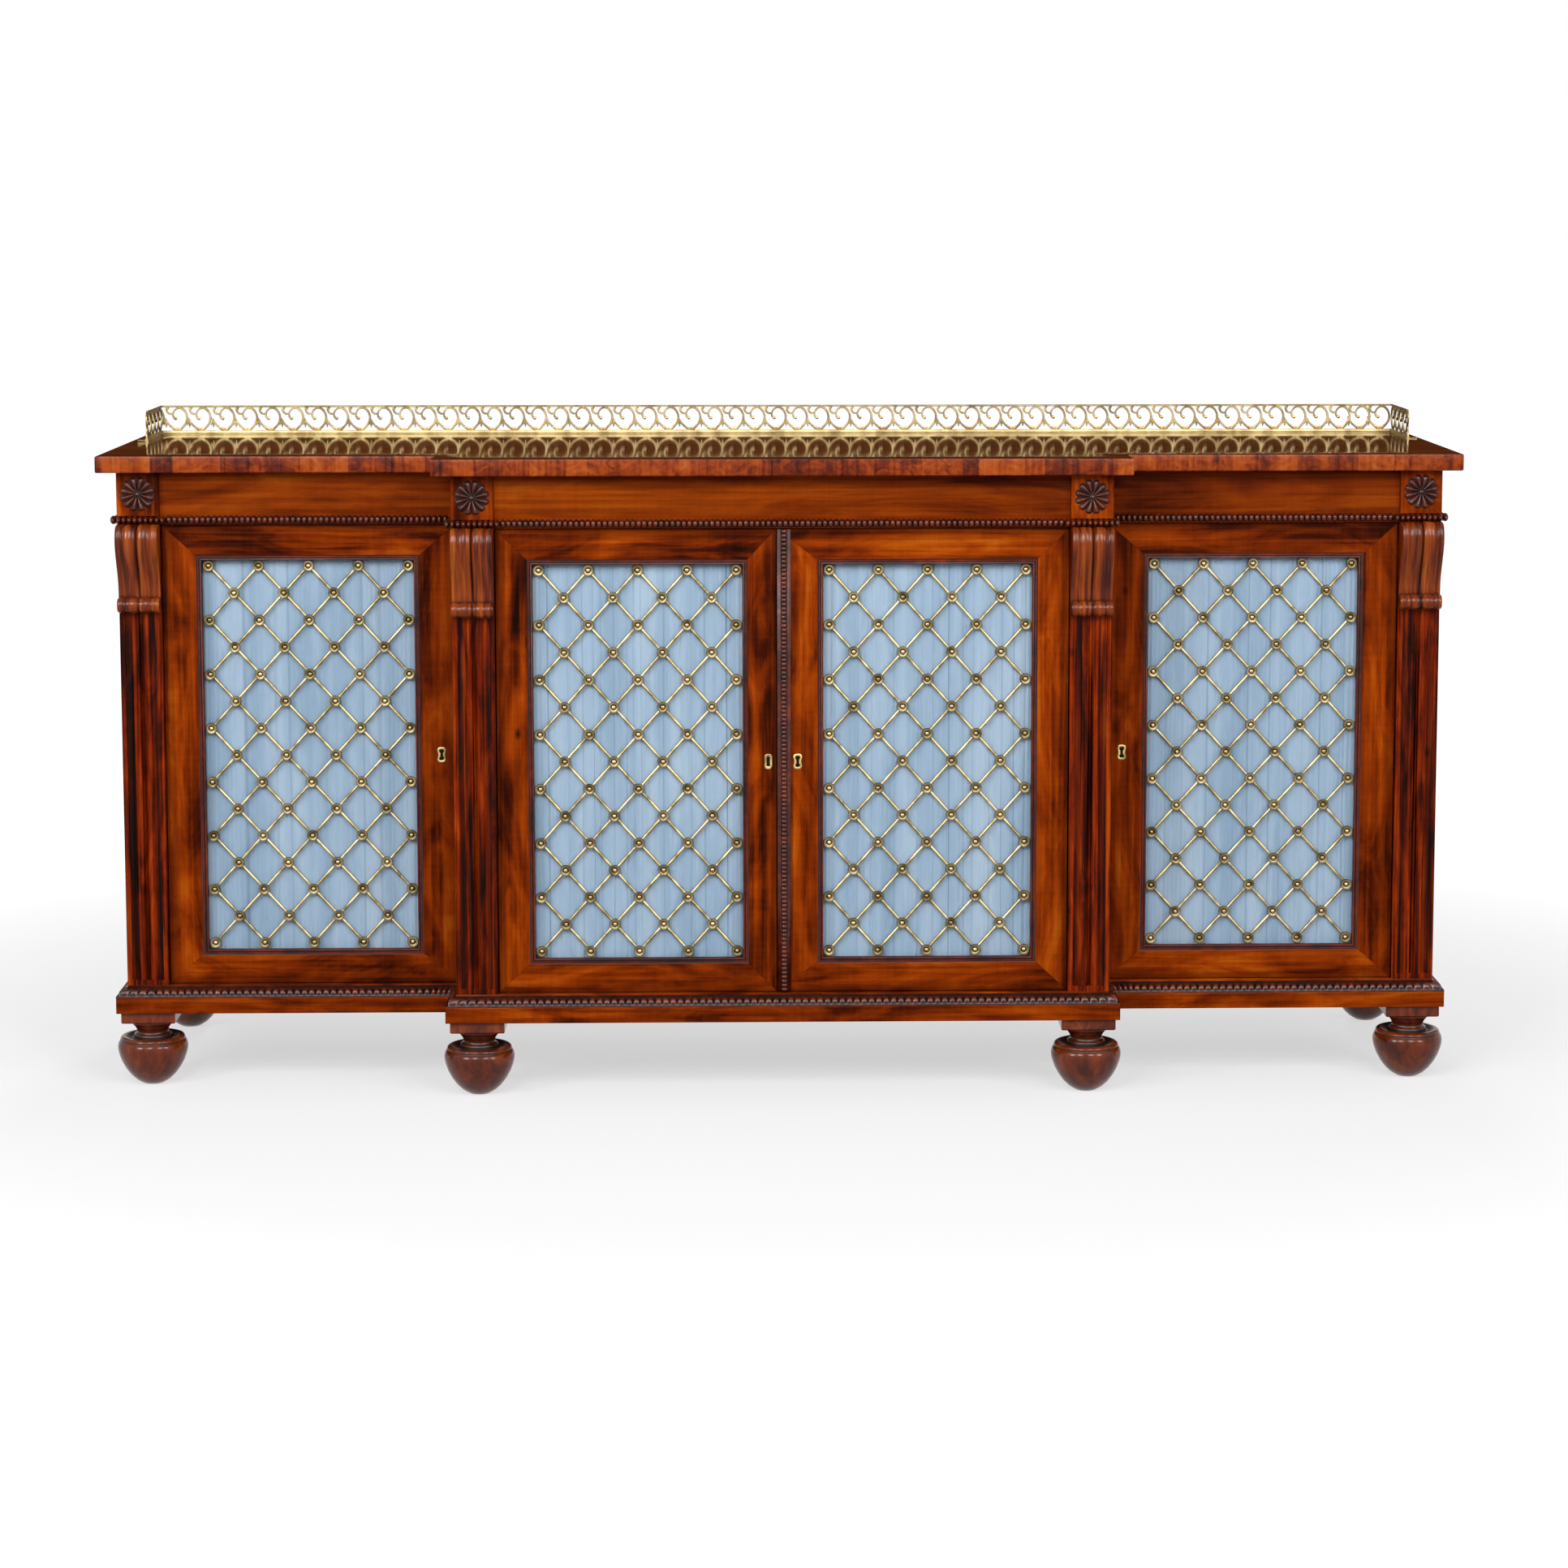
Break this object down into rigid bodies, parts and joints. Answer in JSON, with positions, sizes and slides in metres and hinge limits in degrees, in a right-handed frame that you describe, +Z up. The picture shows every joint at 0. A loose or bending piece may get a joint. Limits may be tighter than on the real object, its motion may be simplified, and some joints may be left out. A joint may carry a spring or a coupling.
{
  "type": "breakfront chiffonier",
  "caption": "Breakfront side cabinet with silk-backed brass trellis doors, corbelled pilasters, turned feet and a pierced brass gallery.",
  "frame": {"origin": "middle of the bounding box at the bottom of the feet", "axes": "+Z up, +X to the right seen from the front, front towards -Y"},
  "size_m": [1.951, 0.562, 0.964],
  "materials": {
    "veneer_wood": "french polished figured mahogany",
    "streaked_wood": "polished streaky dark red mahogany",
    "carved_wood": "polished dark mahogany, carved and turned",
    "moulding_wood": "polished dark red moulding",
    "inner_wood": "plain brown timber, unpolished inside and at the back",
    "gallery_brass": "cast brass, aged",
    "grille_brass": "drawn and stamped brass, aged",
    "hardware_brass": "cut sheet brass, worn",
    "lock_steel": "dull iron lock case",
    "silk": "pale blue silk, gathered in fine upright folds"
  },
  "bodies": {
    "carcass": {"back_panels": "inner_wood", "base_board": "veneer_wood", "corbels": "carved_wood", "door_stops": "inner_wood", "end_panel_left": "veneer_wood", "end_panel_right": "veneer_wood", "frieze_beading": "carved_wood", "frieze_blocks": "veneer_wood", "frieze_boards": "veneer_wood", "front_feet": "carved_wood", "gallery": "gallery_brass", "partition_left": "inner_wood", "partition_right": "inner_wood", "paterae": "carved_wood", "pilaster_left_centre": "streaked_wood", "pilaster_left_end": "streaked_wood", "pilaster_right_centre": "streaked_wood", "pilaster_right_end": "streaked_wood", "pivot_pins": "hardware_brass", "plinth_beading": "carved_wood", "plinth_boards": "veneer_wood", "rear_feet": "inner_wood", "shelf_bearers": "inner_wood", "shelf_centre": "inner_wood", "shelf_left": "inner_wood", "shelf_right": "inner_wood", "top_board": "veneer_wood", "top_rails": "inner_wood"},
    "door_left": {"door_left_frame": "veneer_wood", "door_left_grille": "grille_brass", "door_left_lock": "lock_steel", "door_left_moulding": "moulding_wood", "door_left_pivots": "hardware_brass", "door_left_silk": "silk"},
    "door_centre_left": {"door_centre_left_frame": "veneer_wood", "door_centre_left_grille": "grille_brass", "door_centre_left_moulding": "moulding_wood", "door_centre_left_pivots": "hardware_brass", "door_centre_left_scutcheon": "hardware_brass", "door_centre_left_silk": "silk"},
    "door_centre_right": {"door_centre_right_frame": "veneer_wood", "door_centre_right_grille": "grille_brass", "door_centre_right_lock": "lock_steel", "door_centre_right_moulding": "moulding_wood", "door_centre_right_pivots": "hardware_brass", "door_centre_right_silk": "silk", "astragal": "carved_wood"},
    "door_right": {"door_right_frame": "veneer_wood", "door_right_grille": "grille_brass", "door_right_lock": "lock_steel", "door_right_moulding": "moulding_wood", "door_right_pivots": "hardware_brass", "door_right_silk": "silk"},
    "bolt_left": {"door_left_bolt": "hardware_brass"},
    "bolt_centre": {"door_centre_right_bolt": "hardware_brass"},
    "bolt_right": {"door_right_bolt": "hardware_brass"},
    "slip_high": {"slip_bolt_high": "hardware_brass"},
    "slip_low": {"slip_bolt_low": "hardware_brass"}
  },
  "joints": [
    {"name": "door_left_hinge", "type": "hinge", "parent": "carcass", "child": "door_left", "pos_m": [-0.874, -0.1625, 0.485], "axis": [0, 0, -1], "range_deg": [0, 95]},
    {"name": "door_centre_left_hinge", "type": "hinge", "parent": "carcass", "child": "door_centre_left", "pos_m": [-0.393, -0.2365, 0.485], "axis": [0, 0, -1], "range_deg": [0, 95]},
    {"name": "door_centre_right_hinge", "type": "hinge", "parent": "carcass", "child": "door_centre_right", "pos_m": [0.393, -0.2365, 0.485], "axis": [0, 0, 1], "range_deg": [0, 95]},
    {"name": "door_right_hinge", "type": "hinge", "parent": "carcass", "child": "door_right", "pos_m": [0.874, -0.1625, 0.485], "axis": [0, 0, 1], "range_deg": [0, 95]},
    {"name": "lock_left_bolt", "type": "slide", "parent": "door_left", "child": "bolt_left", "axis": [1, 0, 0], "range_m": [0, 0.008]},
    {"name": "lock_centre_bolt", "type": "slide", "parent": "door_centre_right", "child": "bolt_centre", "axis": [-1, 0, 0], "range_m": [0, 0.008]},
    {"name": "lock_right_bolt", "type": "slide", "parent": "door_right", "child": "bolt_right", "axis": [-1, 0, 0], "range_m": [0, 0.008]},
    {"name": "slip_bolt_high_slide", "type": "slide", "parent": "door_centre_left", "child": "slip_high", "axis": [0, 0, 1], "range_m": [0, 0.009]},
    {"name": "slip_bolt_low_slide", "type": "slide", "parent": "door_centre_left", "child": "slip_low", "axis": [0, 0, -1], "range_m": [0, 0.009]}
  ]
}
